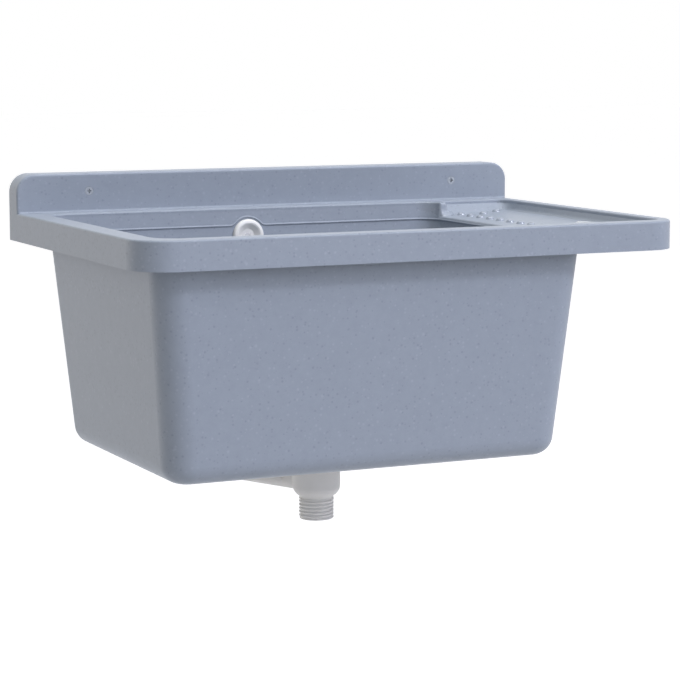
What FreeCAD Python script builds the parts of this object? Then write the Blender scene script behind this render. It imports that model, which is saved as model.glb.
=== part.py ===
import FreeCAD, Part
import math
import os

from FreeCAD import Placement, Rotation, Vector

# Wall-mounted sink: one moulded basin with a backsplash and a drainer, its waste and its overflow.
# X runs along the wall to the right, Y into the wall and Z up, in millimetres.
# The origin lies midway between the two wall screws, on the face that meets the wall.
# The pieces are drawn about the middle of the rim and moved to that origin at the end.

# Rim and backsplash
rim_width = 600.0
rim_depth = 406.0
rim_height = 30.0
rim_corner_radius = 39.0
rim_edge_radius = 2.2
mouth_edge_radius = 2.0
basin_wall = 4.0
backsplash_height = 41.9
backsplash_thickness = 27.0
backsplash_corner_radius = 20.0
backsplash_edge_radius = 2.6
backsplash_foot_radius = 2.2
rib_thickness = 3.0
side_rib_shares = (0.25, 0.5, 0.75)
front_rib_shares = (0.14, 0.3, 0.46, 0.62)
back_rib_shares = (0.12, 0.3, 0.62, 0.8)
backsplash_rib_shares = (0.25, 0.375, 0.5, 0.625, 0.75)

# Bowl, with its outside measured at the lower edge of the rim, from the rim's ends and the wall
bowl_left_margin = 25.0
bowl_right_margin = 104.5
bowl_front_margin = 20.0
bowl_back = 44.0
bowl_depth = 244.6
bowl_draft = 5.0
bowl_corner_radius = 28.0
bowl_foot_radius = 21.0
floor_thickness = 4.0
bead_drop = 19.5
bead_radius = 1.4
bead_sides = 6
bead_arch_radius = 21.0
bead_blend_radius = 8.0

# Drainer, with its drops measured from the top of the rim
tray_right_margin = 14.0
tray_right_lean = 3.0
tray_lip_drop = 16.0
tray_right_drop = 11.5
tray_bank_run = 14.0
tray_bank_drop = 9.0
tray_corner_radius = 14.0
tray_foot_radius = 5.0
tray_lip_radius = 3.0
bump_radius = 4.0
bump_sides = 8
bump_height = 2.0
bump_bevel = 1.3
bump_pitch = 23.0

# Wall screws
screw_spacing = 445.0
screw_offset = 4.4
screw_height = 22.4
screw_radius = 2.5
screw_neck_radius = 2.0
screw_head_radius = 4.75
screw_head_depth = 2.6
screw_length = 62.0
screw_tip_length = 6.0
screw_boss_radius = 8.0
screw_recess_width = 1.3
screw_recess_depth = 1.8

# Waste: seat in the floor, strainer, seals and body
waste_forward_share = 0.5427
seat_margin = 2.0
seat_depth = 3.0
seat_pad_margin = 4.0
seal_thickness = 1.5
strainer_flange_radius = 35.0
strainer_sheet = 1.2
strainer_cup_radius = 22.5
strainer_foot_radius = 20.5
strainer_cup_depth = 7.0
strainer_round = 1.5
strainer_hole_radius = 4.2
strainer_hole_circle = 13.5
strainer_hole_count = 8
gasket_thickness = 2.0
body_flange_radius = 33.0
body_flange_thickness = 4.0
body_radius = 25.3
body_length = 31.4
body_wall = 3.0
shoulder_length = 12.5
outlet_radius = 18.45
outlet_wall = 3.6
outlet_neck_relief = 1.0
outlet_neck_length = 1.5
outlet_length = 22.0
outlet_chamfer = 1.2
hub_radius = 8.0
hub_length = 16.0
hub_drop = 10.0
web_thickness = 3.0
web_count = 3
waste_screw_radius = 3.0
waste_screw_length = 24.0
waste_screw_head_radius = 5.0
waste_screw_head_height = 3.0
insert_wall = 1.5
insert_length = 12.0

# Overflow arm, pipe and elbow, with the arm's drop measured from the top of the waste body
arm_turn = 24.9
arm_drop = 28.8
arm_length = 39.4
arm_blend_radius = 8.0
pipe_radius = 11.0
pipe_wall = 1.8
pipe_bend_radius = 45.0
spigot_length = 18.0
spigot_wall = 3.3
branch_seal_height = 2.4
branch_seal_width = 2.4
branch_seal_setback = 9.0
overflow_drop = 31.0
ring_radius = 18.3
ring_height = 5.0
ring_round = 2.2
ring_dish_radius = 12.8
ring_dish_foot_radius = 7.6
ring_plate_setback = 0.5
ring_plate_thickness = 2.5
ring_opening_radius = 12.2
ring_opening_drop = 5.2
ring_barrel_wall = 1.5
ring_barrel_length = 6.9
ring_hub_radius = 4.6
ring_screw_radius = 2.0
ring_screw_head_radius = 3.2
ring_screw_head_depth = 1.8
ring_screw_length = 18.0
elbow_flange_radius = 20.0
elbow_flange_thickness = 3.5
elbow_setback = 24.5
elbow_wall = 2.6
elbow_pillar_radius = 4.5
elbow_throat_radius = 13.0
elbow_socket_start = 20.0
elbow_socket_end = 40.0
elbow_socket_radius = 14.5
elbow_pipe_stop = 24.0
cone_seal_length = 3.0
nut_start = 27.0
nut_end_wall = 3.6
nut_wall = 3.0
nut_grip_count = 12
nut_grip_radius = 1.3

# Plug
plug_flange_radius = 27.0
plug_flange_thickness = 3.0
plug_depth = 5.5
plug_wall = 4.0
plug_hollow_depth = 4.0
knob_stem_radius = 3.5
knob_stem_length = 12.0
knob_radius = 10.0
knob_height = 5.0

# Clearances, small rounds, the least round made as an arc, the overrun of every cut
# and how near counts as the same place
fit_clearance = 0.05
screw_clearance = 0.25
hole_clearance = 0.4
plug_clearance = 0.35
soft_round = 0.8
least_arc_radius = 3.0
overrun = 5.0
same_place = 0.05

# Levels and places worked out from the sizes above
rim_top = -screw_height
rim_foot = rim_top - rim_height
backsplash_top = rim_top + backsplash_height
plate_foot = rim_top - basin_wall
bowl_foot = rim_top - bowl_depth
floor_top = bowl_foot + floor_thickness
bowl_slope = math.tan(math.radians(bowl_draft))
bowl_left = rim_width / 2 - bowl_left_margin
bowl_right = rim_width / 2 - bowl_right_margin
bowl_front = rim_depth - bowl_front_margin
bowl_middle = (bowl_right - bowl_left) / 2
mouth_spread = (rim_foot - plate_foot) * bowl_slope + basin_wall
mouth_front = mouth_spread - bowl_front
mouth_back = -bowl_back - mouth_spread
tray_lip = bowl_right - mouth_spread
tray_right = rim_width / 2 - tray_right_margin
tray_left = tray_lip - bowl_corner_radius
tray_slope = (tray_lip_drop - tray_right_drop) / (tray_right - tray_right_lean - tray_lip)
waste_forward = bowl_back + (bowl_front - bowl_back) * waste_forward_share
waste_place = Vector(bowl_middle, -waste_forward, 0)
waste_hole_radius = strainer_cup_radius + strainer_sheet + hole_clearance
seat_radius = strainer_flange_radius + seat_margin
seat_top = floor_top - seat_depth
pad_foot = bowl_foot - seat_depth
strainer_top = seat_top + seal_thickness + strainer_sheet
body_top = pad_foot - gasket_thickness
body_foot = body_top - body_length
neck_top = body_foot - shoulder_length
outlet_foot = neck_top - outlet_neck_length - outlet_length
arm_height = body_top - arm_drop
pipe_bore = pipe_radius - pipe_wall
spigot_radius = pipe_bore - fit_clearance
spigot_bore = spigot_radius - spigot_wall
wall_normal = basin_wall * math.cos(math.radians(bowl_draft))
overflow_height = rim_top - overflow_drop
barrel_radius = ring_opening_radius + ring_barrel_wall
overflow_hole_radius = barrel_radius + hole_clearance
elbow_chamber_radius = barrel_radius + screw_clearance + elbow_wall
nut_bore = elbow_socket_radius + fit_clearance
nut_radius = nut_bore + nut_wall
seal_end = elbow_socket_end + cone_seal_length
nut_end = seal_end + nut_end_wall
gasket_back = -wall_normal - gasket_thickness
flange_back = gasket_back - elbow_flange_thickness


def block(x_low, x_high, y_low, y_high, z_low, z_high):
    size = (x_high - x_low, y_high - y_low, z_high - z_low)
    return Part.makeBox(*size, Vector(x_low, y_low, z_low))


def rod(radius, z_low, z_high, place=Vector(0, 0, 0)):
    return Part.makeCylinder(radius, z_high - z_low, place + Vector(0, 0, z_low))


def joined(first, others):
    return first.fuse(list(others)).removeSplitter()


def flat_wire(corners, place):
    """Closed outline through corners (u, v, radius), laid in space by place(u, v).

    A radius below the least arc is cut as a straight bevel.
    """
    points = [Vector(u, v, 0) for u, v, radius in corners]
    edges = []
    ends = []
    for index, (u, v, radius) in enumerate(corners):
        corner = points[index]
        to_last = (points[index - 1] - corner).normalize()
        to_next = (points[(index + 1) % len(points)] - corner).normalize()
        half_angle = to_last.getAngle(to_next) / 2
        reach = radius / math.tan(half_angle)
        start = corner + to_last * reach
        end = corner + to_next * reach
        ends.append((start, end))
        if radius >= least_arc_radius:
            inward = (to_last + to_next).normalize()
            middle = corner + inward * (radius / math.sin(half_angle) - radius)
            arc = [place(point.x, point.y) for point in (start, middle, end)]
            edges.append(Part.Arc(*arc).toShape())
        elif radius > 0:
            edges.append(Part.makeLine(place(start.x, start.y), place(end.x, end.y)))
    for index, (start, end) in enumerate(ends):
        last_end = ends[index - 1][1]
        if last_end.distanceToPoint(start) > same_place:
            edges.append(Part.makeLine(place(last_end.x, last_end.y), place(start.x, start.y)))
    return Part.Wire(Part.sortEdges(edges)[0])


def turned(corners):
    """Solid of revolution about Z from profile corners (radius, height, round)."""
    wire = flat_wire(corners, lambda radius, height: Vector(radius, 0, height))
    return Part.Face(wire).revolve(Vector(0, 0, 0), Vector(0, 0, 1), 360)


def plan_wire(x_low, x_high, y_low, y_high, front_radius, back_radius, height):
    corners = [
        (x_low, y_low, front_radius),
        (x_high, y_low, front_radius),
        (x_high, y_high, back_radius),
        (x_low, y_high, back_radius),
    ]
    return flat_wire(corners, lambda x, y: Vector(x, y, height))


def plan_prism(x_low, x_high, y_low, y_high, front_radius, z_low, z_high):
    face = Part.Face(plan_wire(x_low, x_high, y_low, y_high, front_radius, 0, z_low))
    return face.extrude(Vector(0, 0, z_high - z_low))


def tube_along(path, radius, start, direction):
    profile = Part.Wire(Part.Circle(start, direction, radius).toShape())
    return path.makePipeShell([profile], True, False)


def many_sided(sides, radius):
    """Corners of a regular figure about the origin, with the first one repeated at the end."""
    turns = [2 * math.pi * side / sides for side in range(sides + 1)]
    return [Vector(math.cos(turn), math.sin(turn), 0) * radius for turn in turns]


def edges_at_height(shape, height):
    """Edges of a shape that lie wholly at one height."""
    found = []
    for edge in shape.Edges:
        box = edge.BoundBox
        if max(abs(box.ZMin - height), abs(box.ZMax - height)) < same_place:
            found.append(edge)
    return found


# Basin

def bowl_form(top, foot, inset):
    """Tapered bowl with rounded corners and a rounded foot."""
    high = (rim_foot - top) * bowl_slope + inset
    low = (rim_foot - foot) * bowl_slope + inset
    form = Part.makeWedge(low - bowl_left, foot, bowl_back + low, bowl_back + high, high - bowl_left,
                          bowl_right - low, top, bowl_front - low, bowl_front - high, bowl_right - high)
    form.rotate(Vector(0, 0, 0), Vector(1, 0, 0), 90)
    corner_edges = [edge for edge in form.Edges if edge.BoundBox.ZLength > same_place]
    form = form.makeFillet(bowl_corner_radius - inset, corner_edges)
    return form.makeFillet(bowl_foot_radius - inset, edges_at_height(form, foot))


def tray_form(spread):
    """Hollow of the drainer, or its outside where spread is the wall: floor, right wall and two banks."""
    bank_slope = tray_bank_drop / tray_bank_run
    left_foot = rim_top - tray_lip_drop - (tray_lip - tray_left) * tray_slope - spread
    right_foot = rim_top - tray_right_drop - spread
    along = [
        (tray_left, plate_foot, 0),
        (tray_left, left_foot, 0),
        (tray_right - tray_right_lean + spread, right_foot, 0),
        (tray_right + spread, plate_foot, 0),
    ]
    deep = left_foot - overrun
    bank_top = plate_foot - spread
    bank_run = (bank_top - deep) / bank_slope
    side_top = bank_top + spread * bank_slope
    across = [
        (mouth_front - spread, plate_foot, 0),
        (mouth_front - spread, side_top, 0),
        (mouth_front + bank_run, deep, 0),
        (mouth_back - bank_run, deep, 0),
        (mouth_back + spread, side_top, 0),
        (mouth_back + spread, plate_foot, 0),
    ]
    if spread == 0:
        across = [across[0], across[2], across[3], across[5]]
    start = mouth_front - spread
    long_prism = Part.Face(flat_wire(along, lambda x, z: Vector(x, start, z)))
    cross_prism = Part.Face(flat_wire(across, lambda y, z: Vector(tray_left, y, z)))
    long_prism = long_prism.extrude(Vector(0, mouth_back - mouth_front + 2 * spread, 0))
    cross_prism = cross_prism.extrude(Vector(tray_right - tray_left + spread, 0, 0))
    return long_prism.common(cross_prism)


def tray_hollow():
    """Drainer hollow with its concave corners rounded."""
    hollow = tray_form(0)
    floor_left = rim_top - tray_lip_drop - (tray_lip - tray_left) * tray_slope
    corner_edges = []
    for edge in hollow.Edges:
        box = edge.BoundBox
        if box.XMin > tray_right - tray_right_lean - same_place and box.ZLength > same_place:
            corner_edges.append(edge)
    hollow = hollow.makeFillet(tray_corner_radius, corner_edges)
    foot_edges = []
    for edge in hollow.Edges:
        box = edge.BoundBox
        on_floor = box.ZMax < plate_foot - same_place and box.ZMin > floor_left - same_place
        if on_floor and box.XMax > tray_left + same_place:
            foot_edges.append(edge)
    return hollow.makeFillet(tray_foot_radius, foot_edges)


def basin_hollow():
    """Bowl and drainer as one hollow below the rim plate, with the lip between them rounded."""
    hollow = joined(bowl_form(plate_foot, floor_top, basin_wall), [tray_hollow()])
    lip_height = rim_top - tray_lip_drop
    lip_edges = []
    for edge in hollow.Edges:
        box = edge.BoundBox
        beside = abs(box.Center.x - tray_lip) < tray_lip_radius
        level = abs(box.Center.z - lip_height) < tray_lip_radius
        if beside and level and box.YLength > rim_depth / 2:
            lip_edges.append(edge)
    return hollow.makeFillet(tray_lip_radius, lip_edges)


def mouth_block(hollow):
    """Straight part of the mouth, through the rim plate, above the hollow's own outline."""
    top_faces = [face for face in hollow.Faces if abs(face.BoundBox.ZMin - plate_foot) < same_place]
    return top_faces[0].extrude(Vector(0, 0, basin_wall))


def rim_slab(mouth):
    """Rim as a solid slab with its mouth cut and its upper edges rounded."""
    half = rim_width / 2
    slab = plan_prism(-half, half, -rim_depth, 0, rim_corner_radius, rim_foot, rim_top)
    outer_edges = [edge for edge in edges_at_height(slab, rim_top) if edge.BoundBox.YMin < -same_place]
    slab = slab.makeFillet(rim_edge_radius, outer_edges)
    slab = slab.cut(mouth)
    mouth_edges = []
    for edge in edges_at_height(slab, rim_top):
        box = edge.BoundBox
        if box.XMin > -bowl_left and box.XMax < tray_right + same_place and box.YMin > -bowl_front:
            if box.YMax < -bowl_back:
                mouth_edges.append(edge)
    return slab.makeFillet(mouth_edge_radius, mouth_edges)


def backsplash():
    half = rim_width / 2
    corners = [
        (-half, plate_foot, 0),
        (half, plate_foot, 0),
        (half, backsplash_top, backsplash_corner_radius),
        (-half, backsplash_top, backsplash_corner_radius),
    ]
    face = Part.Face(flat_wire(corners, lambda x, z: Vector(x, 0, z)))
    plate = face.extrude(Vector(0, -backsplash_thickness, 0))
    front_edges = []
    for edge in plate.Edges:
        box = edge.BoundBox
        if box.YMax < same_place - backsplash_thickness and box.ZMax > plate_foot + same_place:
            front_edges.append(edge)
    return plate.makeFillet(backsplash_edge_radius, front_edges)


def backsplash_foot():
    """Concave strip where the backsplash meets the rim."""
    reach = rim_width / 2 - backsplash_edge_radius
    front = -backsplash_thickness - backsplash_foot_radius
    strip = block(-reach, reach, front, -backsplash_thickness, rim_top, rim_top + backsplash_foot_radius)
    round_axis = Vector(-reach, front, rim_top + backsplash_foot_radius)
    hollow = Part.makeCylinder(backsplash_foot_radius, 2 * reach, round_axis, Vector(1, 0, 0))
    return strip.cut(hollow)


def skirt_hollow():
    """Space under the rim plate, round the bowl and below the drainer, with ribs left standing."""
    half = rim_width / 2 - basin_wall
    front = basin_wall - rim_depth
    radius = rim_corner_radius - basin_wall
    hollow = plan_prism(-half, half, front, -basin_wall, radius, rim_foot - overrun, plate_foot)
    hollow = hollow.cut([bowl_form(plate_foot, bowl_foot, 0), tray_form(basin_wall)])
    ribs = []
    for share in side_rib_shares:
        middle = -rim_depth * share
        ribs.append(block(-half, half, middle - rib_thickness / 2, middle + rib_thickness / 2,
                          rim_foot + rib_thickness, plate_foot))
    for shares, y_low, y_high in (
        (front_rib_shares, front, -rim_depth / 2),
        (back_rib_shares, -rim_depth / 2, -basin_wall),
    ):
        for share in shares:
            middle = rim_width * share - rim_width / 2
            ribs.append(block(middle - rib_thickness / 2, middle + rib_thickness / 2, y_low, y_high,
                              rim_foot + rib_thickness, plate_foot))
    return hollow.cut(ribs)


def backsplash_hollow():
    """Pocket in the back of the backsplash, with ribs and screw bosses left standing."""
    half = rim_width / 2 - basin_wall
    radius = backsplash_corner_radius - basin_wall
    top = backsplash_top - basin_wall
    corners = [(-half, rim_top, 0), (half, rim_top, 0), (half, top, radius), (-half, top, radius)]
    pocket = Part.Face(flat_wire(corners, lambda x, z: Vector(x, 0, z)))
    pocket = pocket.extrude(Vector(0, basin_wall - backsplash_thickness, 0))
    standing = []
    for share in backsplash_rib_shares:
        middle = rim_width * share - rim_width / 2
        standing.append(block(middle - rib_thickness / 2, middle + rib_thickness / 2,
                              -backsplash_thickness, 0, rim_top, backsplash_top))
    for place in screw_places():
        start = place + Vector(0, -backsplash_thickness, 0)
        standing.append(Part.makeCylinder(screw_boss_radius, backsplash_thickness, start, Vector(0, 1, 0)))
    return pocket.cut(standing)


def screw_places():
    return [Vector(screw_offset + side * screw_spacing / 2, 0, 0) for side in (-1, 1)]


def bead():
    """Bevelled bead round the bowl's wall, which rises in an arch over the overflow."""
    height = rim_top - bead_drop
    spread = (rim_foot - height) * bowl_slope + basin_wall
    radius = bowl_corner_radius - basin_wall
    left = spread - bowl_left
    right = bowl_right - spread
    front = spread - bowl_front
    back = -bowl_back - spread
    tilt = math.radians(bowl_draft)

    def on_back(across, up):
        rise = up * math.cos(tilt)
        return Vector(bowl_middle + across, back + up * math.sin(tilt), height + rise)

    arch_up = (bead_drop - overflow_drop) / math.cos(tilt)
    reach = bead_arch_radius + bead_blend_radius
    blend_across = math.sqrt(reach ** 2 - (bead_blend_radius - arch_up) ** 2)
    blend_angle = math.atan2(bead_blend_radius - arch_up, blend_across)

    def on_arch(angle):
        return on_back(bead_arch_radius * math.cos(angle), arch_up + bead_arch_radius * math.sin(angle))

    def on_blend(side, angle):
        return on_back(side * (blend_across - bead_blend_radius * math.cos(angle)),
                       bead_blend_radius - bead_blend_radius * math.sin(angle))

    half_blend = (blend_angle + math.pi / 2) / 2
    edges = [
        Part.makeLine(on_back(left + radius - bowl_middle, 0), on_blend(-1, math.pi / 2)),
        Part.Arc(on_blend(-1, math.pi / 2), on_blend(-1, half_blend), on_blend(-1, blend_angle)).toShape(),
        Part.Arc(on_arch(math.pi - blend_angle), on_arch(math.pi / 2), on_arch(blend_angle)).toShape(),
        Part.Arc(on_blend(1, blend_angle), on_blend(1, half_blend), on_blend(1, math.pi / 2)).toShape(),
        Part.makeLine(on_blend(1, math.pi / 2), on_back(right - radius - bowl_middle, 0)),
    ]
    outline = plan_wire(left, right, front, back, radius, radius, height)
    for edge in outline.Edges:
        straight = edge.Curve.TypeId == "Part::GeomLine"
        if not (straight and edge.BoundBox.YMin > back - same_place):
            edges.append(edge)
    path = Part.Wire(Part.sortEdges(edges)[0])
    start = path.OrderedVertexes[0].Point
    direction = path.OrderedEdges[0].tangentAt(path.OrderedEdges[0].FirstParameter)
    profile = Part.makePolygon(many_sided(bead_sides, bead_radius))
    profile.Placement = Placement(start, Rotation(Vector(0, 0, 1), direction))
    return path.makePipeShell([profile], True, False)


def bump():
    """Low bevelled stud, rooted in the drainer's floor."""
    root = basin_wall / 2
    outline = Part.makePolygon(many_sided(bump_sides, bump_radius))
    stud = Part.Face(outline).extrude(Vector(0, 0, root + bump_height))
    stud.translate(Vector(0, 0, -root))
    return stud.makeChamfer(bump_bevel, edges_at_height(stud, bump_height))


def bumps():
    """Studs on the drainer's floor: a column along the lip and a staggered row along the back."""
    stud = bump()
    low_x = tray_lip + bump_pitch
    high_x = tray_right - tray_right_lean - bump_pitch / 2
    low_y = mouth_front + tray_bank_run + bump_pitch / 2
    high_y = mouth_back - tray_bank_run - bump_pitch / 2
    columns = int((high_x - low_x) / bump_pitch) + 1
    rows = int((high_y - low_y) / bump_pitch) + 1
    studs = []
    for column in range(columns):
        x = low_x + column * bump_pitch
        floor = rim_top - tray_lip_drop + (x - tray_lip) * tray_slope
        stagger = bump_pitch / 2 * (column % 2)
        for row in range(rows if column == 0 else 1):
            y = high_y - row * bump_pitch - stagger
            studs.append(stud.translated(Vector(x, y, floor)))
    return studs


def basin():
    hollow = basin_hollow()
    pad = rod(seat_radius + seat_pad_margin, pad_foot, floor_top, waste_place)
    shell = joined(rim_slab(mouth_block(hollow)), [
        backsplash(),
        backsplash_foot(),
        bowl_form(plate_foot, bowl_foot, 0),
        pad,
    ])
    cuts = [hollow, skirt_hollow(), backsplash_hollow()]
    cuts.append(rod(seat_radius, seat_top, floor_top + overrun, waste_place))
    cuts.append(rod(waste_hole_radius, pad_foot - overrun, floor_top, waste_place))
    overflow_hole = rod(overflow_hole_radius, -wall_normal - overrun, overrun)
    overflow_hole.Placement = overflow_placement()
    cuts.append(overflow_hole)
    for place in screw_places():
        cuts.append(screw_hole(place))
    shell = shell.cut(cuts)
    return joined(shell, [bead()] + bumps())


# Wall screws

def along_screw(place, corners):
    """Turned form on a wall screw's axis, from the front of the backsplash towards the wall."""
    form = turned(corners)
    start = place + Vector(0, -backsplash_thickness, 0)
    form.Placement = Placement(start, Rotation(Vector(1, 0, 0), -90))
    return form


def screw_hole(place):
    """Countersunk hole that lets the screw's thread through."""
    radius = screw_radius + screw_clearance
    end = backsplash_thickness + overrun
    return along_screw(place, [
        (0, 0, 0),
        (screw_head_radius + screw_clearance, 0, 0),
        (radius, screw_head_depth, 0),
        (radius, end, 0),
        (0, end, 0),
    ])


def plain_screw(place):
    """Countersunk screw with a plain neck in the backsplash and its full width in the wall."""
    return along_screw(place, [
        (0, 0, 0),
        (screw_head_radius, 0, 0),
        (screw_neck_radius, screw_head_depth, 0),
        (screw_neck_radius, backsplash_thickness, 0),
        (screw_radius, backsplash_thickness, 0),
        (screw_radius, screw_length - screw_tip_length, 0),
        (0, screw_length, 0),
    ])


def wall_screws():
    screws = []
    for place in screw_places():
        front = place + Vector(0, -backsplash_thickness, 0)
        half_width = screw_recess_width / 2
        reach = screw_head_radius / 2
        depth = front.y + screw_recess_depth
        top = front.y - overrun
        cross = [
            block(front.x - reach, front.x + reach, top, depth, -half_width, half_width),
            block(front.x - half_width, front.x + half_width, top, depth, -reach, reach),
        ]
        screws.append(plain_screw(place).cut(cross))
    return Part.makeCompound(screws)


# Waste

def at_waste(shape):
    shape.translate(waste_place)
    return shape


def strainer():
    screw_hole = waste_screw_radius + screw_clearance
    sheet = strainer_sheet
    foot = strainer_top - strainer_cup_depth
    dish = turned([
        (screw_hole, foot, 0),
        (strainer_foot_radius, foot, strainer_round),
        (strainer_cup_radius, strainer_top, strainer_round),
        (strainer_flange_radius, strainer_top, sheet / 2),
        (strainer_flange_radius, strainer_top - sheet, 0),
        (strainer_cup_radius + sheet, strainer_top - sheet, 0),
        (strainer_foot_radius + sheet, foot - sheet, strainer_round),
        (screw_hole, foot - sheet, 0),
    ])
    holes = []
    for index in range(strainer_hole_count):
        turn = 2 * math.pi * index / strainer_hole_count
        place = Vector(math.cos(turn), math.sin(turn), 0) * strainer_hole_circle
        holes.append(rod(strainer_hole_radius, foot - overrun, foot + sheet, place))
    return at_waste(dish.cut(holes))


def flat_ring(bore, radius, z_low, z_high):
    return turned([(bore, z_low, 0), (radius, z_low, 0), (radius, z_high, 0), (bore, z_high, 0)])


def strainer_seal():
    high = seat_top + seal_thickness
    return at_waste(flat_ring(waste_hole_radius, strainer_flange_radius, seat_top, high))


def drain_gasket():
    return at_waste(flat_ring(waste_hole_radius, body_flange_radius, body_top, pad_foot))


def arm_direction():
    turn = math.radians(arm_turn)
    return Vector(-math.sin(turn), math.cos(turn), 0)


def arm_start():
    return waste_place + Vector(0, 0, arm_height)


def drain_body():
    """Waste body: flanged cup, rounded shoulder, outlet and the arm for the overflow pipe."""
    neck_radius = outlet_radius - outlet_neck_relief
    bore = body_radius - body_wall
    outlet_bore = outlet_radius - outlet_wall
    shell = turned([
        (0, body_top, 0),
        (body_flange_radius, body_top, 0),
        (body_flange_radius, body_top - body_flange_thickness, soft_round),
        (body_radius, body_top - body_flange_thickness, soft_round),
        (body_radius, body_foot - shoulder_length / 2, shoulder_length),
        (neck_radius, neck_top, 0),
        (neck_radius, neck_top - outlet_neck_length, 0),
        (outlet_radius, neck_top - outlet_neck_length, 0),
        (outlet_radius, outlet_foot + outlet_chamfer, 0),
        (outlet_radius - outlet_chamfer, outlet_foot, 0),
        (0, outlet_foot, 0),
    ])
    hollow = turned([
        (0, body_top + overrun, 0),
        (bore, body_top + overrun, 0),
        (bore, body_foot, 0),
        (outlet_bore, neck_top, 0),
        (outlet_bore, outlet_foot - overrun, 0),
        (0, outlet_foot - overrun, 0),
    ])
    direction = arm_direction()
    start = Vector(0, 0, arm_height)
    shoulder = start + direction * arm_length
    arm = Part.makeCylinder(pipe_radius, arm_length, start, direction)
    spigot = Part.makeCylinder(spigot_radius, spigot_length, shoulder, direction)
    arm_bore = Part.makeCylinder(spigot_bore, arm_length + spigot_length + overrun, start, direction)
    groove_start = shoulder + direction * (branch_seal_setback - fit_clearance)
    groove_width = branch_seal_width + 2 * fit_clearance
    groove = Part.makeCylinder(spigot_radius, groove_width, groove_start, direction)
    groove = groove.cut(Part.makeCylinder(branch_seal_seat(), groove_width, groove_start, direction))
    shell = joined(shell, [arm])
    root_edges = [edge for edge in shell.Edges if edge.Curve.TypeId == "Part::GeomBSplineCurve"]
    shell = shell.makeFillet(arm_blend_radius, root_edges)
    shell = joined(shell, [spigot]).cut([hollow, arm_bore, groove])
    hub_top = body_top - hub_drop
    hub = rod(hub_radius, hub_top - hub_length, hub_top)
    webs = []
    for index in range(web_count):
        web = block(0, bore + body_wall / 2, -web_thickness / 2, web_thickness / 2,
                    hub_top - hub_length, hub_top - web_thickness)
        turn = 90 + arm_turn + 360 * (index + 1 / 2) / web_count
        web.rotate(Vector(0, 0, 0), Vector(0, 0, 1), turn)
        webs.append(web)
    shell = joined(shell, [hub] + webs)
    insert_hole = rod(insert_radius() + fit_clearance, hub_top - insert_length, hub_top + overrun)
    screw_hole = rod(waste_screw_radius + screw_clearance, hub_top - hub_length + web_thickness, hub_top)
    return at_waste(shell.cut([insert_hole, screw_hole]))


def insert_radius():
    return waste_screw_radius + fit_clearance + insert_wall


def drain_insert():
    hub_top = body_top - hub_drop
    bore = waste_screw_radius + fit_clearance
    return at_waste(flat_ring(bore, insert_radius(), hub_top - insert_length, hub_top))


def pan_screw(radius, length, head_radius, head_height, top):
    """Pan-head screw hanging from its head, with a cross cut in the head."""
    under = top - head_height
    form = turned([
        (0, under - length, 0),
        (radius, under - length, radius / 2),
        (radius, under, 0),
        (head_radius, under, 0),
        (head_radius, top, head_height / 2),
        (0, top, 0),
    ])
    slot_width = head_radius / 4
    reach = head_radius / 2
    low = top - head_height / 2
    return form.cut([
        block(-reach, reach, -slot_width / 2, slot_width / 2, low, top + overrun),
        block(-slot_width / 2, slot_width / 2, -reach, reach, low, top + overrun),
    ])


def drain_screw():
    top = strainer_top - strainer_cup_depth + waste_screw_head_height
    form = pan_screw(waste_screw_radius, waste_screw_length, waste_screw_head_radius,
                     waste_screw_head_height, top)
    return at_waste(form)


# Overflow

def branch_seal_seat():
    return spigot_radius - branch_seal_height


def branch_seal():
    """Square-cut seal ring in the groove of the arm's spigot."""
    direction = arm_direction()
    place = arm_start() + direction * (arm_length + branch_seal_setback)
    ring = flat_ring(branch_seal_seat(), spigot_radius, 0, branch_seal_width)
    ring.Placement = Placement(place, Rotation(Vector(0, 0, 1), direction))
    return ring


def overflow_placement():
    """Frame on the bowl's back wall: Z into the bowl, Y up the wall."""
    spread = (rim_foot - overflow_height) * bowl_slope + basin_wall
    centre = Vector(bowl_middle, -bowl_back - spread, overflow_height)
    return Placement(centre, Rotation(Vector(1, 0, 0), 90 - bowl_draft))


def pipe_corner():
    """Point where the arm's line meets the plane in which the elbow's outlet swings."""
    wall_frame = overflow_placement()
    centre = wall_frame.multVec(Vector(0, 0, -elbow_setback))
    inward = wall_frame.Rotation.multVec(Vector(0, 0, 1))
    direction = arm_direction()
    run = (centre - arm_start()).dot(inward) / direction.dot(inward)
    return arm_start() + direction * run


def elbow_placement():
    """The wall's frame moved back to the elbow's middle and turned to point its outlet at the pipe."""
    wall_frame = overflow_placement()
    corner = wall_frame.inverse().multVec(pipe_corner())
    swing = math.degrees(math.atan2(corner.x, -corner.y))
    return wall_frame.multiply(Placement(Vector(0, 0, 0), Rotation(Vector(0, 0, 1), swing)))


def outlet_frame():
    """The elbow's outlet: Z away from the elbow along the pipe."""
    turn = Placement(Vector(0, 0, -elbow_setback), Rotation(Vector(1, 0, 0), 90))
    return elbow_placement().multiply(turn)


def overflow_pipe():
    """Plain tube from the arm, in one bend, up to the elbow."""
    direction = arm_direction()
    start = arm_start() + direction * arm_length
    corner = pipe_corner()
    end = outlet_frame().multVec(Vector(0, 0, elbow_pipe_stop + fit_clearance))
    rise = (end - corner).normalize()
    half_turn = direction.getAngle(rise) / 2
    tangent = pipe_bend_radius * math.tan(half_turn)
    bend_start = corner - direction * tangent
    bend_end = corner + rise * tangent
    inward = (rise - direction).normalize()
    sagitta = pipe_bend_radius / math.cos(half_turn) - pipe_bend_radius
    path = Part.Wire([
        Part.makeLine(start, bend_start),
        Part.Arc(bend_start, corner + inward * sagitta, bend_end).toShape(),
        Part.makeLine(bend_end, end),
    ])
    outside = tube_along(path, pipe_radius, start, direction)
    return outside.cut(tube_along(path, pipe_bore, start, direction))


def overflow_gasket():
    ring = flat_ring(overflow_hole_radius, elbow_flange_radius, gasket_back, -wall_normal)
    ring.Placement = overflow_placement()
    return ring


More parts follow.
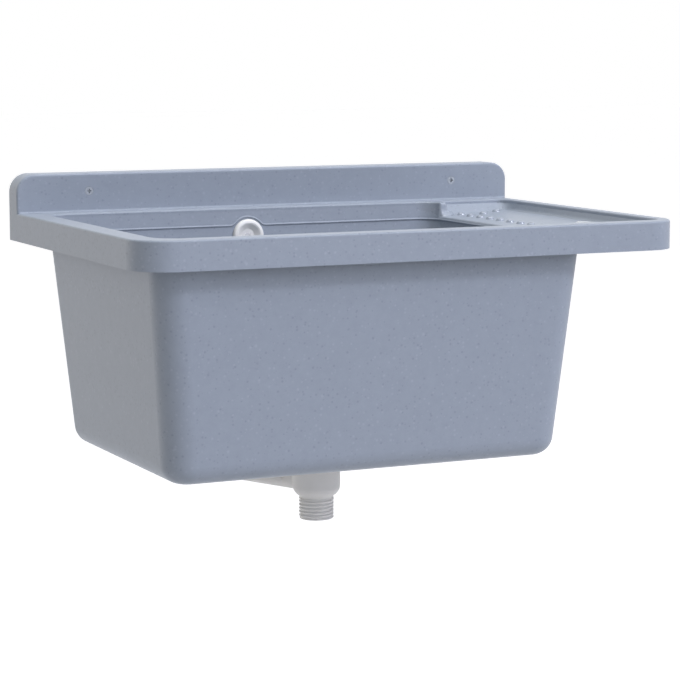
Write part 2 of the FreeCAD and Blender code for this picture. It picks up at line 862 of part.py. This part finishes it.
def overflow_elbow():
    """Flanged chamber behind the wall with a pillar for the screw and a socket for the pipe."""
    back = -elbow_setback - elbow_chamber_radius + elbow_wall
    chamber = turned([
        (0, back, 0),
        (elbow_chamber_radius, back, elbow_wall),
        (elbow_chamber_radius, flange_back, 0),
        (elbow_flange_radius, flange_back, soft_round),
        (elbow_flange_radius, gasket_back, 0),
        (0, gasket_back, 0),
    ])
    outlet = turned([
        (0, 0, 0),
        (elbow_throat_radius, 0, 0),
        (elbow_throat_radius, elbow_socket_start, 0),
        (elbow_socket_radius, elbow_socket_start, 0),
        (elbow_socket_radius, elbow_socket_end, 0),
        (0, elbow_socket_end, 0),
    ])
    to_outlet = Placement(Vector(0, 0, -elbow_setback), Rotation(Vector(1, 0, 0), 90))
    outlet.Placement = to_outlet
    shell = joined(chamber, [outlet])
    chamber_bore = rod(elbow_chamber_radius - elbow_wall, back + elbow_wall, gasket_back + overrun)
    outlet_bore = turned([
        (0, 0, 0),
        (pipe_bore, 0, 0),
        (pipe_bore, elbow_pipe_stop, 0),
        (pipe_radius + fit_clearance, elbow_pipe_stop, 0),
        (pipe_radius + fit_clearance, elbow_socket_end + overrun, 0),
        (0, elbow_socket_end + overrun, 0),
    ])
    outlet_bore.Placement = to_outlet
    shell = shell.cut([chamber_bore, outlet_bore])
    pillar = rod(elbow_pillar_radius, back + elbow_wall / 2, -ring_barrel_length - fit_clearance)
    screw_hole = rod(ring_screw_radius + fit_clearance, -ring_screw_length - overrun, overrun)
    shell = joined(shell, [pillar]).cut(screw_hole)
    shell.Placement = elbow_placement()
    return shell


def elbow_seal():
    ring = flat_ring(pipe_radius + fit_clearance, elbow_socket_radius, elbow_socket_end, seal_end)
    ring.Placement = outlet_frame()
    return ring


def elbow_nut():
    """Union nut with a ring of grip flutes."""
    nut = turned([
        (nut_bore, nut_start, 0),
        (nut_radius, nut_start, soft_round),
        (nut_radius, nut_end, soft_round),
        (pipe_radius + screw_clearance, nut_end, 0),
        (pipe_radius + screw_clearance, seal_end, 0),
        (nut_bore, seal_end, 0),
    ])
    flutes = []
    for index in range(nut_grip_count):
        turn = 2 * math.pi * index / nut_grip_count
        place = Vector(math.cos(turn), math.sin(turn), 0) * (nut_radius + nut_grip_radius / 2)
        flutes.append(rod(nut_grip_radius, nut_start - overrun, nut_end + overrun, place))
    nut = nut.cut(flutes)
    nut.Placement = outlet_frame()
    return nut


def overflow_ring():
    """Dished ring on the bowl's back wall, with a barrel through it and an opening below for the water."""
    plate_front = -ring_plate_setback
    plate_back = plate_front - ring_plate_thickness
    ring = turned([
        (0, plate_back, 0),
        (ring_opening_radius, plate_back, 0),
        (ring_opening_radius, -ring_barrel_length, 0),
        (barrel_radius, -ring_barrel_length, 0),
        (barrel_radius, 0, 0),
        (ring_radius, 0, 0),
        (ring_radius, ring_height / 2, ring_round),
        ((ring_radius + ring_dish_radius) / 2, ring_height, ring_round),
        (ring_dish_radius, ring_height - soft_round, soft_round),
        (ring_dish_foot_radius, plate_front, soft_round),
        (0, plate_front, 0),
    ])
    hub = rod(ring_hub_radius, -ring_barrel_length, plate_front)
    opening = rod(ring_opening_radius, -ring_barrel_length - overrun, ring_height + overrun)
    below = block(-ring_radius, ring_radius, -ring_radius, -ring_opening_drop,
                  -ring_barrel_length - overrun, ring_height + overrun)
    ring = joined(ring, [hub]).cut(opening.common(below))
    ring = ring.cut(overflow_screw_form(fit_clearance))
    ring.Placement = overflow_placement()
    return ring


def overflow_screw_form(clearance):
    """Countersunk screw through the ring's plate into the elbow's pillar."""
    top = -ring_plate_setback
    return turned([
        (0, top - ring_screw_length, 0),
        (ring_screw_radius + clearance, top - ring_screw_length, 0),
        (ring_screw_radius + clearance, top - ring_screw_head_depth, 0),
        (ring_screw_head_radius + clearance, top, 0),
        (0, top, 0),
    ])


def overflow_screw():
    slot = block(-ring_screw_head_radius, ring_screw_head_radius, -soft_round / 2, soft_round / 2,
                 -ring_plate_setback - soft_round, overrun)
    screw = overflow_screw_form(0).cut(slot)
    screw.Placement = overflow_placement()
    return screw


# Plug

def plug_stopper():
    """Rubber stopper: flange over the strainer, tapered plug in its cup, hollow below."""
    foot = strainer_top - plug_depth
    taper = (strainer_cup_radius - strainer_foot_radius) / strainer_cup_depth
    top_radius = strainer_cup_radius - plug_clearance
    foot_radius = top_radius - plug_depth * taper
    low = strainer_top + plug_clearance
    high = low + plug_flange_thickness
    stopper = turned([
        (knob_stem_radius + fit_clearance, high, 0),
        (plug_flange_radius, high, soft_round),
        (plug_flange_radius, low, soft_round),
        (top_radius - strainer_round, low, 0),
        (foot_radius, foot, soft_round),
        (foot_radius - plug_wall, foot, soft_round),
        (foot_radius - plug_wall, foot + plug_hollow_depth, soft_round),
        (knob_stem_radius + fit_clearance, foot + plug_hollow_depth, 0),
    ])
    return at_waste(stopper)


def plug_knob():
    high = strainer_top + plug_clearance + plug_flange_thickness
    stem_foot = strainer_top - plug_depth + plug_hollow_depth
    neck_top = high + knob_stem_length
    knob = turned([
        (0, stem_foot, 0),
        (knob_stem_radius, stem_foot, 0),
        (knob_stem_radius, high, 0),
        (2 * knob_stem_radius, high, soft_round),
        (knob_stem_radius, high + knob_stem_radius, soft_round),
        (knob_stem_radius, neck_top, soft_round),
        (knob_radius, neck_top, soft_round),
        (knob_radius, neck_top + knob_height, knob_height / 2),
        (0, neck_top + knob_height, 0),
    ])
    return at_waste(knob)


pieces = {
    "basin": basin,
    "wall_screws": wall_screws,
    "strainer": strainer,
    "strainer_seal": strainer_seal,
    "drain_gasket": drain_gasket,
    "drain_body": drain_body,
    "drain_insert": drain_insert,
    "drain_screw": drain_screw,
    "branch_seal": branch_seal,
    "overflow_pipe": overflow_pipe,
    "overflow_gasket": overflow_gasket,
    "overflow_elbow": overflow_elbow,
    "elbow_seal": elbow_seal,
    "elbow_nut": elbow_nut,
    "overflow_ring": overflow_ring,
    "overflow_screw": overflow_screw,
    "plug_stopper": plug_stopper,
    "plug_knob": plug_knob,
}

os.makedirs("parts", exist_ok=True)
for name, make in pieces.items():
    shape = make()
    shape.translate(Vector(-screw_offset, 0, 0))
    shape.exportStep(f"parts/{name}.step")
    print(name, "solids", len(shape.Solids), "valid", shape.isValid(), "volume", round(shape.Volume))
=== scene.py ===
import math

import bmesh
import bpy
from mathutils import Matrix, Vector


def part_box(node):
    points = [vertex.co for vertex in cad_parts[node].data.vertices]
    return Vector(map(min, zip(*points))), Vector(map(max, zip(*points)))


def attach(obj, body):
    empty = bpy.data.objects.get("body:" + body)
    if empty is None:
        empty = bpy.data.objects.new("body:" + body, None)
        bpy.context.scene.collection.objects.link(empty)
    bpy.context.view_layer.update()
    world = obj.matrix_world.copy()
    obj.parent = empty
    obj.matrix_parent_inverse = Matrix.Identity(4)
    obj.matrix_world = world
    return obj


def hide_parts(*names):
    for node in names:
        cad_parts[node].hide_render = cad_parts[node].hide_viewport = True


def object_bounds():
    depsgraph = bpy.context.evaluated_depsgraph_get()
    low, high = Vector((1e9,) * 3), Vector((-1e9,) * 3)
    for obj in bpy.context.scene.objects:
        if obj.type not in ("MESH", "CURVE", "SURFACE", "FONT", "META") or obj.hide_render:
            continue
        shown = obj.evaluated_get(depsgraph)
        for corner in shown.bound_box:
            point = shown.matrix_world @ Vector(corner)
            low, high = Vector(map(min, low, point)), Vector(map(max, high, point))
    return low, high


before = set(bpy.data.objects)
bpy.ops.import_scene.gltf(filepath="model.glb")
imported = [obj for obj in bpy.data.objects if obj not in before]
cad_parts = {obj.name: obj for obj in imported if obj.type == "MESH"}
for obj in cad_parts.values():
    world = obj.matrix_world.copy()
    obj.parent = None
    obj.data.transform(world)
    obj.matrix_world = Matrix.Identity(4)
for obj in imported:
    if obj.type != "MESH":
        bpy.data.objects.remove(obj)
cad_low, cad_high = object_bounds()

# Basin: bowl, rim, backsplash and drainer in one moulding, which hangs on the two wall screws.
# Polypropylene filled with mineral flakes, injection moulded against a finely etched mould.
# That gives a satin blue-grey skin with small dark and light specks and a faint cloudy tone.

mm = 0.001


def linear(code):
    """Linear colour of an sRGB hex value."""
    parts = [int(code[start:start + 2], 16) / 255 for start in (1, 3, 5)]
    return [part / 12.92 if part <= 0.04045 else ((part + 0.055) / 1.055) ** 2.4 for part in parts] + [1.0]


def add(tree, kind, inputs=None, **settings):
    """Adds a node, with its settings and with its inputs set or linked."""
    node = tree.nodes.new("ShaderNode" + kind)
    for name, value in settings.items():
        setattr(node, name, value)
    for name, value in (inputs or {}).items():
        if isinstance(value, bpy.types.NodeSocket):
            tree.links.new(value, node.inputs[name])
        else:
            node.inputs[name].default_value = value
    return node


def new_material(name, **constants):
    """Material with one shader, its constants set on the shader's own sockets."""
    material = bpy.data.materials.new(name)
    material.use_nodes = True
    shader = material.node_tree.nodes["Principled BSDF"]
    for socket, value in constants.items():
        shader.inputs[socket.replace("_", " ")].default_value = value
    return material, material.node_tree, shader


def shade(mesh, crease):
    """Smooth shading up to a crease angle in degrees."""
    mesh.polygons.foreach_set("use_smooth", [True] * len(mesh.polygons))
    mesh.set_sharp_from_angle(angle=math.radians(crease))


def dress(names, material, crease=32):
    """Gives CAD nodes a material and smooth shading."""
    for name in names:
        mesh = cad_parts[name].data
        mesh.materials.clear()
        mesh.materials.append(material)
        shade(mesh, crease)


basin_colour = linear("#929BA7")
basin_pale = linear("#A0A9B4")
dark_speck_colour = linear("#6A717D")
light_speck_colour = linear("#B4BBC6")
cloud_size = 12 * mm
# Single flakes are about 0.5 mm across; they gather in specks of up to 2.5 mm, which are what shows.
dark_speck_spacing = 4.6 * mm
light_speck_spacing = 5.2 * mm
dark_speck_strength = 0.32
light_speck_strength = 0.38
speck_radius_share = 0.46
etch_size = 1.1 * mm
etch_depth = 0.05 * mm

speckled_polypropylene, tree, shader = new_material(
    "speckled_polypropylene", Roughness=0.42, IOR=1.49, Specular_IOR_Level=0.3)
place = add(tree, "TexCoord").outputs["Object"]
cloud = add(tree, "TexNoise", {"Vector": place, "Scale": 1 / cloud_size, "Detail": 6.0, "Roughness": 0.75})
skin = add(tree, "MixRGB", {"Fac": cloud.outputs["Fac"], "Color1": basin_colour, "Color2": basin_pale})
tint = skin.outputs["Color"]
for spacing, colour, strength in (
    (dark_speck_spacing, dark_speck_colour, dark_speck_strength),
    (light_speck_spacing, light_speck_colour, light_speck_strength),
):
    cells = add(tree, "TexVoronoi", {"Vector": place, "Scale": 1 / spacing})
    chance = add(tree, "SeparateColor", {"Color": cells.outputs["Color"]})
    reach = add(tree, "Math", {0: chance.outputs["Red"], 1: speck_radius_share}, operation="MULTIPLY")
    spot = add(tree, "MapRange", {
        "Value": cells.outputs["Distance"],
        "From Min": 0.0,
        "From Max": reach.outputs["Value"],
        "To Min": strength,
        "To Max": 0.0,
    }, interpolation_type="SMOOTHSTEP")
    mixed = add(tree, "MixRGB", {"Fac": spot.outputs["Result"], "Color1": tint, "Color2": colour})
    tint = mixed.outputs["Color"]
tree.links.new(tint, shader.inputs["Base Color"])
etch = add(tree, "TexNoise", {"Vector": place, "Scale": 1 / etch_size, "Detail": 2.0})
relief = add(tree, "Bump", {"Height": etch.outputs["Fac"], "Strength": 0.12, "Distance": etch_depth})
tree.links.new(relief.outputs["Normal"], shader.inputs["Normal"])
dress(["basin"], speckled_polypropylene, crease=28)

# Drainer studs: low round knobs on the drainer's floor that hold wet things clear of it.
# They are part of the basin's moulding; their pockets in the mould are polished, so the domes shine.
# Each dome covers the plain stud of the solid, with a small fillet at its foot.


def add_object(name, mesh, material, body):
    """Links a finished mesh as a piece of the object that rides on a body."""
    piece = bpy.data.objects.new(name, mesh)
    bpy.context.scene.collection.objects.link(piece)
    mesh.materials.clear()
    mesh.materials.append(material)
    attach(piece, body)
    return piece


def around(radius, turn, height):
    """Point at a radius from the Z axis, at a turn in radians."""
    return Vector((radius * math.cos(turn), radius * math.sin(turn), height))


def lathe(shape, profile, place, steps):
    """Turns a profile of (radius, height) about Z into a bmesh; its last point lies on the axis."""
    turns = [2 * math.pi * step / steps for step in range(steps)]
    rings = []
    for radius, height in profile[:-1]:
        rings.append([shape.verts.new(place @ around(radius, turn, height)) for turn in turns])
    crown = shape.verts.new(place @ Vector((0, 0, profile[-1][1])))
    for step in range(steps):
        after = (step + 1) % steps
        for low, high in zip(rings, rings[1:]):
            shape.faces.new([low[step], low[after], high[after], high[step]])
        shape.faces.new([rings[-1][step], rings[-1][after], crown])


def finish_mesh(name, shape, crease):
    """Turns a bmesh into a mesh with outward faces and smooth shading."""
    bmesh.ops.recalc_face_normals(shape, faces=shape.faces)
    mesh = bpy.data.meshes.new(name)
    shape.to_mesh(mesh)
    shape.free()
    shade(mesh, crease)
    return mesh


basin_low, basin_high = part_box("basin")
rim_top = -22.4 * mm
tray_lip = basin_low.x + 493.775 * mm
tray_front = -384.275 * mm
tray_back = -45.725 * mm
tray_bank = 14 * mm
tray_end = basin_low.x + 583 * mm
tray_lip_drop = 16 * mm
tray_end_drop = 11.5 * mm
stud_pitch = 23 * mm
stud_steps = 28
# Radius and height in millimetres, from the foot of the fillet to the crown.
stud_profile = [
    (5.0, -0.3),
    (4.75, 0.05),
    (4.5, 0.5),
    (4.25, 1.2),
    (3.85, 1.85),
    (3.2, 2.4),
    (2.2, 2.8),
    (1.1, 3.0),
    (0, 3.05),
]

dome = [(radius * mm, height * mm) for radius, height in stud_profile]
tray_slope = (tray_lip_drop - tray_end_drop) / (tray_end - tray_lip)
first_row = tray_back - tray_bank - stud_pitch / 2
rows = int((first_row - tray_front - tray_bank - stud_pitch / 2) / stud_pitch) + 1
columns = int((tray_end - tray_lip - 1.5 * stud_pitch) / stud_pitch) + 1
studs = bmesh.new()
for column in range(columns):
    x = tray_lip + (column + 1) * stud_pitch
    stud_foot = rim_top - tray_lip_drop + (x - tray_lip) * tray_slope
    # The column along the lip is full; the others have one stud each, in a staggered row at the back.
    for row in range(rows if column == 0 else 1):
        y = first_row - (row + (column % 2) / 2) * stud_pitch
        lathe(studs, dome, Matrix.Translation((x, y, stud_foot)), stud_steps)
polished_polypropylene = speckled_polypropylene.copy()
polished_polypropylene.name = "polished_polypropylene"
polished_inputs = polished_polypropylene.node_tree.nodes["Principled BSDF"].inputs
polished_inputs["Roughness"].default_value = 0.2
polished_inputs["Specular IOR Level"].default_value = 0.6
add_object("drainer_studs", finish_mesh("drainer_studs", studs, 60), polished_polypropylene,
           "sink")

# Drainer corners: the ends of the drainer's banks, which drop straight to the lip beside the bowl.
# They are part of the basin's moulding; the mould is polished there, as in the studs' pockets.
# Each is fitted over the solid, whose bank runs out in a slant along the mouth's round corner.


def walk(x, y, heading, moves, step=7):
    """Points of a plan outline with their headings, from moves of (turn in degrees, radius or length)."""
    points = [(x, y, heading)]
    for turn, size in moves:
        count = max(1, round(abs(turn) / step))
        part = turn / count / 2
        stride = 2 * size * abs(math.sin(math.radians(part))) if turn else size
        for _ in range(count):
            heading += part
            x += stride * math.cos(math.radians(heading))
            y += stride * math.sin(math.radians(heading))
            heading += part
            points.append((x, y, heading))
    return points


mouth_corner_radius = 24 * mm
mouth_edge_radius = 2 * mm
plate_thickness = 4 * mm
tray_bank_drop = 9 * mm
bowl_draft = math.tan(math.radians(5))
bead_drop = 19.5 * mm
corner_edge_radius = 5 * mm
corner_foot_radius = 9 * mm
corner_turn_radius = 3 * mm
corner_front_length = 3 * mm
corner_back_radius = 8 * mm
corner_side_length = 15 * mm
corner_top_border = 0.4 * mm
corner_least_drop = 9 * mm
corner_sunk = 0.3 * mm
wall_top_gap = 1 * mm
wall_steps = 5
edge_steps = 6
# The wall beside the bowl grows proud of the solid's facets over the first few points.
wall_proud = 0.2 * mm
proud_points = 5
top_proud = 0.02 * mm
# Angles in degrees: the stretch of the mouth's corner, and the headings of the end's front and side.
mouth_corner_start = 88
mouth_corner_end = 18
front_heading = 15
side_heading = 75

bank_slope = tray_bank_drop / tray_bank
corner_outline = walk(
    mouth_corner_radius * (math.cos(math.radians(mouth_corner_start)) - 1),
    mouth_corner_radius * (math.sin(math.radians(mouth_corner_start)) - 1),
    mouth_corner_start - 90,
    [
        (mouth_corner_end - mouth_corner_start, mouth_corner_radius),
        (front_heading + 90 - mouth_corner_end, corner_turn_radius),
        (0, corner_front_length),
        (side_heading - front_heading, corner_back_radius),
        (0, corner_side_length),
    ])
corner_shape = bmesh.new()
for mouth_edge, back in ((tray_back, 1), (tray_front, -1)):
    sides = []
    for index, (x, y, heading) in enumerate(corner_outline):
        # Zero beside the bowl, where the side is a plain wall, and one round the end in the drainer.
        share = min(max(x / corner_turn_radius, 0), 1)
        ground = max(x * tray_slope - tray_lip_drop, y * bank_slope - plate_thickness)
        ground = min(ground, -corner_least_drop) - corner_sunk
        edge_radius = mouth_edge_radius + share * (corner_edge_radius - mouth_edge_radius)
        foot_radius = min(corner_foot_radius, -ground - edge_radius)
        wall_height = bead_drop - edge_radius - wall_top_gap
        profile = []
        for step in range(wall_steps + 1):
            rise = wall_height * step / wall_steps - bead_drop
            wall = Vector((max(-plate_thickness - rise, 0) * bowl_draft, rise))
            turn = math.pi / 2 * step / wall_steps
            fillet = Vector((1 - math.sin(turn), 1 - math.cos(turn))) * foot_radius
            profile.append(wall.lerp(fillet + Vector((0, ground)), share))
        for step in range(edge_steps + 1):
            turn = math.pi / 2 * step / edge_steps
            profile.append(Vector((math.cos(turn) - 1, math.sin(turn) - 1)) * edge_radius)
        profile.append(Vector((-edge_radius - corner_top_border, 0)))
        bearing = math.radians(heading)
        outwards = Vector((math.sin(bearing), -math.cos(bearing) * back, 0))
        base = Vector((tray_lip + x, mouth_edge + y * back, rim_top + top_proud))
        proud = wall_proud * min(index / proud_points, 1)
        sides.append([
            corner_shape.verts.new(base + outwards * (offset + proud) + Vector((0, 0, height)))
            for offset, height in profile])
    for first, second in zip(sides, sides[1:]):
        for low in range(len(first) - 1):
            corner_shape.faces.new([first[low], second[low], second[low + 1], first[low + 1]])
    corner_shape.faces.new([side[-1] for side in sides])
add_object("drainer_corners", finish_mesh("drainer_corners", corner_shape, 40), polished_polypropylene,
           "sink")

# Wall screws: two countersunk screws with a cross recess that hold the backsplash to the wall.
# Rolled and headed steel wire, zinc plated, which gives a dull metal shine with a faint grey haze.
# The rolled thread shows on the shank behind the backsplash.


def mottle(tree, shader, size, detail, colours, roughness):
    """Varies a shader's colour and roughness together, in patches of about the given size."""
    place = add(tree, "TexCoord").outputs["Object"]
    patches = add(tree, "TexNoise", {"Vector": place, "Scale": 1 / size, "Detail": detail})
    share = patches.outputs["Fac"]
    first, second = [linear(code) for code in colours]
    mixed = add(tree, "MixRGB", {"Fac": share, "Color1": first, "Color2": second})
    tree.links.new(mixed.outputs["Color"], shader.inputs["Base Color"])
    smooth, rough = roughness
    dullness = add(tree, "MapRange", {"Value": share, "To Min": smooth, "To Max": rough})
    tree.links.new(dullness.outputs["Result"], shader.inputs["Roughness"])


haze_size = 1.5 * mm
zinc_plate, tree, shader = new_material("zinc_plated_steel", Metallic=1.0)
mottle(tree, shader, haze_size, 3.0, ("#8E949C", "#A8AEB6"), (0.45, 0.62))
dress(["wall_screws"], zinc_plate)


def helix(shape, profile, pitch, low, high, place, steps):
    """Sweeps a closed profile of (radius, height) along a helix about Z into a bmesh."""
    count = int((high - low) / pitch * steps)
    sections = []
    for step in range(count + 1):
        turn = 2 * math.pi * step / steps
        rise = low + pitch * step / steps
        sections.append([
            shape.verts.new(place @ around(radius, turn, rise + height)) for radius, height in profile])
    for first, second in zip(sections, sections[1:]):
        for index in range(len(profile)):
            after = (index + 1) % len(profile)
            shape.faces.new([first[index], first[after], second[after], second[index]])
    shape.faces.new(sections[0])
    shape.faces.new(list(reversed(sections[-1])))


screw_low, screw_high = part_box("wall_screws")
screw_radius = 2.5 * mm
screw_head_radius = 4.75 * mm
screw_pitch = 2.2 * mm
screw_tip_length = 6 * mm
screw_thread_start = 0.8 * mm
screw_thread_height = 0.5 * mm
screw_thread_sunk = 0.1 * mm
screw_thread_foot = 0.55 * mm
screw_thread_crest = 0.08 * mm
screw_thread_steps = 24
screw_thread = [
    (screw_radius - screw_thread_sunk, -screw_thread_foot),
    (screw_radius + screw_thread_height, -screw_thread_crest),
    (screw_radius + screw_thread_height, screw_thread_crest),
    (screw_radius - screw_thread_sunk, screw_thread_foot),
]
threads = bmesh.new()
for x in (screw_low.x + screw_head_radius, screw_high.x - screw_head_radius):
    lie_back = Matrix.Translation((x, 0, 0)) @ Matrix.Rotation(math.radians(-90), 4, "X")
    helix(threads, screw_thread, screw_pitch, screw_thread_start, screw_high.y - screw_tip_length,
          lie_back, screw_thread_steps)
add_object("wall_screw_threads", finish_mesh("wall_screw_threads", threads, 25), zinc_plate,
           "sink")

# Strainer with its seal and gasket: a dish with drain holes in the bowl's floor.
# Stainless steel sheet, pressed and polished in the round, clamped on moulded rubber rings.
# Turning marks run round the dish; the rubber is dull and black.

waste_low, waste_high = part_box("strainer")
waste_axis = (waste_low + waste_high) / 2
# Real turning marks are well under 1 mm apart; they are drawn this coarse so that they show.
turning_mark = 5.655 * mm
# The wave texture draws this many rings in one unit of its scaled space.
wave_rings = 20 / (2 * math.pi)
stainless_steel, tree, shader = new_material("polished_stainless_steel", Metallic=1.0)
place = add(tree, "TexCoord").outputs["Object"]
about = add(tree, "VectorMath", {0: place, 1: (waste_axis.x, waste_axis.y, 0.0)}, operation="SUBTRACT")
rings = add(tree, "TexWave", {
    "Vector": about.outputs["Vector"],
    "Scale": 1 / (turning_mark * wave_rings),
    "Distortion": 0.6,
}, wave_type="RINGS", rings_direction="Z")
sheen = add(tree, "MixRGB", {
    "Fac": rings.outputs["Fac"], "Color1": linear("#BFC1C3"), "Color2": linear("#D4D5D6")})
tree.links.new(sheen.outputs["Color"], shader.inputs["Base Color"])
brush = add(tree, "MapRange", {"Value": rings.outputs["Fac"], "To Min": 0.18, "To Max": 0.34})
tree.links.new(brush.outputs["Result"], shader.inputs["Roughness"])
dress(["strainer"], stainless_steel)

bloom_size = 3 * mm
seal_rubber, tree, shader = new_material("moulded_rubber", IOR=1.52)
mottle(tree, shader, bloom_size, 5.0, ("#1B1C1E", "#2B2C2F"), (0.55, 0.8))
dress(["strainer_seal", "drain_gasket"], seal_rubber)

# Waste body with its insert and screw: cup under the floor, threaded outlet and overflow arm.
# Light grey polypropylene, injection moulded in one piece, round a turned brass insert.
# Satin and even, with a slightly wavy gloss; the outlet's thread has rounded crests.

flow_size = 14 * mm
grey_polypropylene, tree, shader = new_material("grey_polypropylene", IOR=1.49)
mottle(tree, shader, flow_size, 3.0, ("#E4E3DF", "#EBEAE6"), (0.38, 0.52))

outlet_radius = 18.45 * mm
outlet_length = 22 * mm
outlet_pitch = 3.75 * mm
outlet_thread_steps = 56
same_point = 0.001 * mm
# Depth below the outlet's surface and distance from the groove's middle, in millimetres.
groove_half = [(-1.0, 1.5), (0, 1.4), (0.3, 1.1), (0.9, 0.5), (1.1, 0)]

lower_half = [(outlet_radius - depth * mm, -away * mm) for depth, away in groove_half]
upper_half = [(radius, -height) for radius, height in reversed(lower_half[:-1])]
body_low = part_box("drain_body")[0]
cutter_shape = bmesh.new()
helix(cutter_shape, lower_half + upper_half, outlet_pitch,
      body_low.z - outlet_pitch, body_low.z + outlet_length,
      Matrix.Translation((waste_axis.x, waste_axis.y, 0)), outlet_thread_steps)
cutter = bpy.data.objects.new("thread_cutter", finish_mesh("thread_cutter", cutter_shape, 30))
bpy.context.scene.collection.objects.link(cutter)
body_shape = bmesh.new()
body_shape.from_mesh(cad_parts["drain_body"].data)
bmesh.ops.remove_doubles(body_shape, verts=body_shape.verts, dist=same_point)
waste_body = add_object("waste_body", finish_mesh("waste_body", body_shape, 30), grey_polypropylene,
                        "sink")
groove = waste_body.modifiers.new("outlet_thread", "BOOLEAN")
groove.operation = "DIFFERENCE"
groove.solver = "EXACT"
groove.object = cutter
bpy.context.view_layer.update()
threaded = bpy.data.meshes.new_from_object(waste_body.evaluated_get(bpy.context.evaluated_depsgraph_get()))
waste_body.modifiers.clear()
waste_body.data = threaded
threaded.materials.clear()
threaded.materials.append(grey_polypropylene)
shade(threaded, 48)
bpy.data.objects.remove(cutter)
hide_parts("drain_body")

# The insert's brass is a warm yellow that varies a little with tarnish.
tarnish_size = 2 * mm
brass, tree, shader = new_material("turned_brass", Metallic=1.0)
mottle(tree, shader, tarnish_size, 4.0, ("#B08D45", "#D1B06A"), (0.22, 0.42))
dress(["drain_insert"], brass)
dress(["drain_screw"], stainless_steel)

# Overflow pipe with the seal on the arm: a bent tube from the waste up to the overflow.
# Extruded grey polypropylene, bent warm and pushed on the arm over a rubber ring.

dress(["overflow_pipe"], grey_polypropylene)
dress(["branch_seal"], seal_rubber)

# Overflow elbow, union nut and seals: the chamber behind the bowl's back wall.
# Grey polypropylene mouldings, the nut with grip flutes, sealed by moulded rubber rings.

dress(["overflow_elbow", "elbow_nut"], grey_polypropylene)
dress(["overflow_gasket", "elbow_seal"], seal_rubber)

# Overflow ring and its screw: the white dished ring in the bowl, with its lower part open for the water.
# Glossy white ABS, injection moulded, so its shine is clean with a faint ripple.
# It is drawn to the wall by a countersunk stainless steel screw.

ripple_size = 9 * mm
white_abs, tree, shader = new_material("white_abs", IOR=1.53)
mottle(tree, shader, ripple_size, 2.0, ("#E8E8E4", "#EFEFEB"), (0.18, 0.28))
dress(["overflow_ring"], white_abs, crease=50)
dress(["overflow_screw"], stainless_steel)

# Plug: a rubber stopper with a steel knob, lifted out of the strainer by hand.
# Moulded black rubber with a dull bloom, on a turned and polished stainless steel stem.

dress(["plug_stopper"], seal_rubber)
dress(["plug_knob"], stainless_steel, crease=50)

# Stage: a pale floor well below the sink, four soft lights and the camera.
# The floor and the world are white to the camera, to reflections and through glass.

stage_white = linear("#FFFFFF")
floor_height = -0.95
floor_reach = 30.0
floor_corners = ((-1, -1), (1, -1), (1, 1), (-1, 1))
# Together with the light that falls on the floor, this glow makes it white.
floor_glow = 0.75
world_light = 0.29


def seen_directly(tree):
    """One where a ray comes from the camera, a reflection or through glass, zero elsewhere."""
    path = add(tree, "LightPath")
    seen = path.outputs["Is Camera Ray"]
    for name in ("Is Glossy Ray", "Is Transmission Ray"):
        seen = add(tree, "Math", {0: seen, 1: path.outputs[name]}, operation="MAXIMUM").outputs["Value"]
    return seen


floor_mesh = bpy.data.meshes.new("floor")
floor_points = [(x * floor_reach, y * floor_reach, floor_height) for x, y in floor_corners]
floor_mesh.from_pydata(floor_points, [], [(0, 1, 2, 3)])
floor = bpy.data.objects.new("floor", floor_mesh)
bpy.context.scene.collection.objects.link(floor)
floor_paint, tree, shader = new_material(
    "floor_paint", Roughness=0.9, Base_Color=linear("#CCCCCC"), Emission_Color=stage_white)
glow = add(tree, "Math", {0: seen_directly(tree), 1: floor_glow}, operation="MULTIPLY")
tree.links.new(glow.outputs["Value"], shader.inputs["Emission Strength"])
floor_mesh.materials.append(floor_paint)

world = bpy.data.worlds.new("studio")
bpy.context.scene.world = world
world.use_nodes = True
tree = world.node_tree
backdrop = tree.nodes["Background"]
strength = add(tree, "MapRange", {"Value": seen_directly(tree), "To Min": world_light, "To Max": 1.0})
tree.links.new(strength.outputs["Result"], backdrop.inputs["Strength"])
backdrop.inputs["Color"].default_value = stage_white

# A warm light behind on the left, a large and a small cool one in front on the right, and one above.
middle = (cad_low + cad_high) / 2
for name, place, size, power, colour in (
    ("left", (-2.2, 1.9, 0.15), 2.6, 17, "#FFF3EA"),
    ("front_right", (3.2, -5.9, 4.6), 8.0, 410, "#EAEBFF"),
    ("small_right", (3.4, -5.4, 5.0), 1.0, 145, "#F2F3FF"),
    ("above", (0.0, -0.2, 2.6), 2.0, 41, "#FFFFFF"),
):
    light = bpy.data.lights.new(name, "AREA")
    light.size = size
    light.energy = power
    light.color = linear(colour)[:3]
    lamp = bpy.data.objects.new(name, light)
    bpy.context.scene.collection.objects.link(lamp)
    lamp.location = place
    lamp.rotation_euler = (middle - Vector(place)).to_track_quat("-Z", "Y").to_euler()

# The camera was fitted to the photo: its place from the rim's middle at the wall, and the way it looks.
camera_place = Vector((-1.0519, -2.4363, 0.1670))
camera_direction = Vector((0.4227, 0.8970, -0.1293))
rim_middle = Vector(((basin_low.x + basin_high.x) / 2, 0, 0))
camera_data = bpy.data.cameras.new("camera")
camera_data.sensor_width = 36
camera_data.lens = 123.4
camera = bpy.data.objects.new("camera", camera_data)
bpy.context.scene.collection.objects.link(camera)
camera.location = rim_middle + camera_place
camera.rotation_euler = camera_direction.to_track_quat("-Z", "Y").to_euler()
bpy.context.scene.camera = camera
bpy.context.scene.view_settings.view_transform = "Standard"
